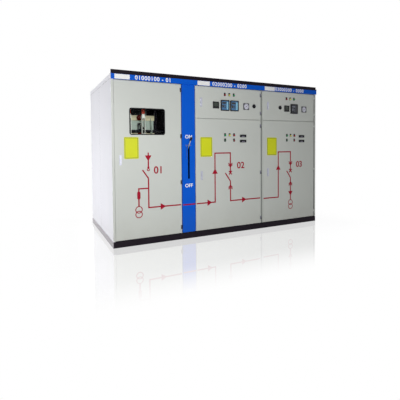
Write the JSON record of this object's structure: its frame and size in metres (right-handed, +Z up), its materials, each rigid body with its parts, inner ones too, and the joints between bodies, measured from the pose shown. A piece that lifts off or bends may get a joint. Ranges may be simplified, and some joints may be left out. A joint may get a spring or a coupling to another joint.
{
  "type": "medium voltage switchgear line-up",
  "caption": "Free-standing line-up of metal-clad switchgear cubicles with hinged doors, a viewing window over a disconnector, instrument panels and a lever column.",
  "frame": {"origin": "on the floor, at the centre of the anchor holes in the base", "axes": "+X along the line-up from the disconnector cubicle to the feeder cubicle, +Y from the doors to the rear covers, +Z up"},
  "size_m": [3.375, 1.8089, 2.25],
  "materials": {
    "black_paint": "satin black enamel",
    "side_paint": "near-white powder coat",
    "door_paint": "light grey powder coat",
    "blue_paint": "blue powder coat",
    "frame_steel": "grey coated folded steel",
    "cream_paint": "cream enamel",
    "insulator_resin": "cast epoxy resin",
    "bar_metal": "tinned copper",
    "hinge_steel": "blackened steel",
    "chrome": "plated zinc casting",
    "lever_steel": "turned steel",
    "knob_plastic": "black phenolic",
    "device_plastic": "black moulded plastic",
    "lamp_plastic": "coloured lens",
    "rubber": "black extruded rubber",
    "glass": "clear laminated glass"
  },
  "bodies": {
    "cubicles": {"base_long_channels": "black_paint", "base_end_channels": "black_paint", "base_cross_channels": "black_paint", "floor_plates": "frame_steel", "frame_posts": "frame_steel", "frame_rails": "frame_steel", "partitions": "frame_steel", "left_side_panels": "side_paint", "right_side_panels": "side_paint", "roof_panels": "side_paint", "rear_covers": "side_paint", "top_angle": "black_paint", "header_band": "blue_paint", "lever_column": "blue_paint", "lever_shaft": "lever_steel", "hinge_pins": "hinge_steel", "instrument_doors": "door_paint", "instrument_door_leaves": "hinge_steel", "relays": "device_plastic", "panel_meters": "device_plastic", "ammeters": "device_plastic", "selector_switches": "device_plastic", "instrument_lamps": "lamp_plastic", "instrument_door_handles": "chrome", "instrument_trays": "frame_steel", "switch_beams": "cream_paint", "switch_upright": "frame_steel", "switch_back_plate": "side_paint", "post_insulators": "insulator_resin", "switch_contacts": "bar_metal", "busbars": "bar_metal", "shaft_bearings": "cream_paint"},
    "switch_door": {"switch_door": "door_paint", "window_rubber": "rubber", "window_glass": "glass", "switch_door_handle": "chrome", "switch_door_leaves": "hinge_steel"},
    "incomer_door": {"incomer_door": "door_paint", "incomer_door_lamps": "lamp_plastic", "incomer_door_buttons": "lamp_plastic", "incomer_door_counters": "device_plastic", "incomer_door_handle": "chrome", "incomer_door_leaves": "hinge_steel"},
    "feeder_door": {"feeder_door": "door_paint", "feeder_door_lamps": "lamp_plastic", "feeder_door_buttons": "lamp_plastic", "feeder_door_counters": "device_plastic", "feeder_door_handle": "chrome", "feeder_door_leaves": "hinge_steel"},
    "lever": {"lever_arm": "lever_steel", "lever_knob": "knob_plastic"},
    "blades": {"switch_blades": "bar_metal"},
    "drive": {"drive_shaft": "hinge_steel"},
    "rods": {"pull_rods": "insulator_resin"}
  },
  "joints": [
    {"name": "switch_door_hinge", "type": "hinge", "parent": "cubicles", "child": "switch_door", "pos_m": [-0.7465, -0.85, 1], "axis": [0, 0, 1], "range_deg": [0, 100]},
    {"name": "incomer_door_hinge", "type": "hinge", "parent": "cubicles", "child": "incomer_door", "pos_m": [0.5715, -0.85, 1], "axis": [0, 0, 1], "range_deg": [0, 110]},
    {"name": "feeder_door_hinge", "type": "hinge", "parent": "cubicles", "child": "feeder_door", "pos_m": [1.653, -0.85, 1], "axis": [0, 0, 1], "range_deg": [0, 110]},
    {"name": "lever_turn", "type": "hinge", "parent": "cubicles", "child": "lever", "pos_m": [-0.642, -0.653, 1.069], "axis": [1, 0, 0], "range_deg": [0, 96]},
    {"name": "blade_swing", "type": "hinge", "parent": "cubicles", "child": "blades", "pos_m": [-1.3645, -0.45, 1.443], "axis": [1, 0, 0], "range_deg": [0, 64]},
    {"name": "drive_turn", "type": "hinge", "parent": "cubicles", "child": "drive", "pos_m": [-1.3645, -0.245, 1.515], "axis": [1, 0, 0], "range_deg": [0, 64]},
    {"name": "rod_swing", "type": "hinge", "parent": "drive", "child": "rods", "pos_m": [-1.3645, -0.245, 1.61494], "axis": [-1, 0, 0], "range_deg": [0, 64]}
  ],
  "couplings": [
    {"joint": "blade_swing", "follows": "lever_turn", "ratio": 0.66667},
    {"joint": "drive_turn", "follows": "lever_turn", "ratio": 0.66667},
    {"joint": "rod_swing", "follows": "lever_turn", "ratio": 0.66667}
  ]
}
